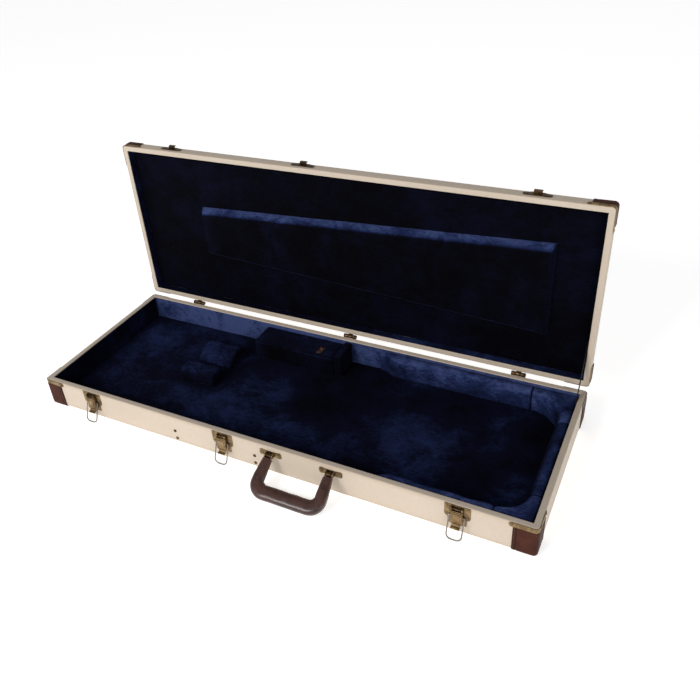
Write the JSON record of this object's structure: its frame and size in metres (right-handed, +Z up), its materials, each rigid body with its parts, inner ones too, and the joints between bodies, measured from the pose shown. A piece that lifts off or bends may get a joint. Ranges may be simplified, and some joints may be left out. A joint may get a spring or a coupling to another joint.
{
  "type": "guitar case",
  "caption": "Rectangular hard guitar case with hinged lid, plush lining, accessory box, leather corners, swinging handle and draw latches with wire bails.",
  "frame": {"origin": "centre of the case's underside, on the surface it lies on", "axes": "+X along the case towards the body end, +Y towards the hinges, +Z up"},
  "size_m": [1.0238, 0.4741, 0.4396],
  "materials": {
    "plywood": "raw birch plywood",
    "vinyl": "cream grained vinyl covering, satin",
    "plush": "crushed royal blue plush",
    "leather": "dark brown leather, semi gloss",
    "brass": "antiqued brass, worn on its edges",
    "steel": "drawn steel wire",
    "webbing": "black flat webbing"
  },
  "bodies": {
    "base": {"base_panel": "vinyl", "base_front_wall": "plywood", "base_rear_wall": "plywood", "base_left_wall": "plywood", "base_right_wall": "plywood", "base_covering": "vinyl", "base_floor_lining": "plush", "base_wall_lining": "plush", "front_bolster": "plush", "right_bolster": "plush", "rear_bolster": "plush", "front_corner_block": "plush", "rear_corner_block": "plush", "neck_rest_front": "plush", "neck_rest_rear": "plush", "compartment_front_wall": "plush", "compartment_left_wall": "plush", "compartment_right_block": "plush", "base_corner_caps": "leather", "base_corner_strips": "brass", "base_screws": "brass", "front_rivets": "brass", "left_latch_plate": "brass", "middle_latch_plate": "brass", "right_latch_plate": "brass", "latch_pivot_pins": "steel", "hinge_base_leaves": "brass", "hinge_pins": "steel", "left_handle_bracket": "brass", "right_handle_bracket": "brass", "stay_base_anchor": "brass"},
    "lid": {"lid_panel": "plywood", "lid_front_wall": "plywood", "lid_rear_wall": "plywood", "lid_left_wall": "plywood", "lid_right_wall": "plywood", "lid_covering": "vinyl", "lid_panel_lining": "plush", "lid_wall_lining": "plush", "lid_pad": "plush", "lid_corner_caps": "leather", "lid_corner_strips": "brass", "lid_screws": "brass", "left_catch": "brass", "middle_catch": "brass", "right_catch": "brass", "hinge_lid_leaves": "brass", "stay_lid_anchor": "brass", "lid_stay_strap": "webbing"},
    "handle": {"handle_core": "steel", "handle_grip": "leather"},
    "flap": {"compartment_flap": "plush", "flap_pull_tab": "leather"},
    "left_lever": {"left_latch_lever": "brass"},
    "left_bail": {"left_latch_bail": "steel"},
    "middle_lever": {"middle_latch_lever": "brass"},
    "middle_bail": {"middle_latch_bail": "steel"},
    "right_lever": {"right_latch_lever": "brass"},
    "right_bail": {"right_latch_bail": "steel"}
  },
  "joints": [
    {"name": "lid_hinge", "type": "hinge", "parent": "base", "child": "lid", "pos_m": [0, 0.1875, 0.06325], "axis": [-1, 0, 0], "range_deg": [-90, 0], "deforming": ["lid_stay_strap"]},
    {"name": "handle_swing", "type": "hinge", "parent": "base", "child": "handle", "pos_m": [0.093, -0.1885, 0.048], "axis": [-1, 0, 0], "range_deg": [0, 102]},
    {"name": "flap_hinge", "type": "hinge", "parent": "base", "child": "flap", "pos_m": [-0.085, 0.1704, 0.055], "axis": [-1, 0, 0], "range_deg": [0, 95]},
    {"name": "left_lever_pivot", "type": "hinge", "parent": "base", "child": "left_lever", "pos_m": [-0.387, -0.1862, 0.0565], "axis": [1, 0, 0], "range_deg": [-150, 0]},
    {"name": "left_bail_pivot", "type": "hinge", "parent": "left_lever", "child": "left_bail", "pos_m": [-0.387, -0.1856, 0.04], "axis": [-1, 0, 0], "range_deg": [0, 160]},
    {"name": "middle_lever_pivot", "type": "hinge", "parent": "base", "child": "middle_lever", "pos_m": [-0.071, -0.1862, 0.0565], "axis": [1, 0, 0], "range_deg": [-150, 0]},
    {"name": "middle_bail_pivot", "type": "hinge", "parent": "middle_lever", "child": "middle_bail", "pos_m": [-0.071, -0.1856, 0.04], "axis": [-1, 0, 0], "range_deg": [0, 160]},
    {"name": "right_lever_pivot", "type": "hinge", "parent": "base", "child": "right_lever", "pos_m": [0.381, -0.1862, 0.0565], "axis": [1, 0, 0], "range_deg": [-150, 0]},
    {"name": "right_bail_pivot", "type": "hinge", "parent": "right_lever", "child": "right_bail", "pos_m": [0.381, -0.1856, 0.04], "axis": [-1, 0, 0], "range_deg": [0, 160]}
  ]
}
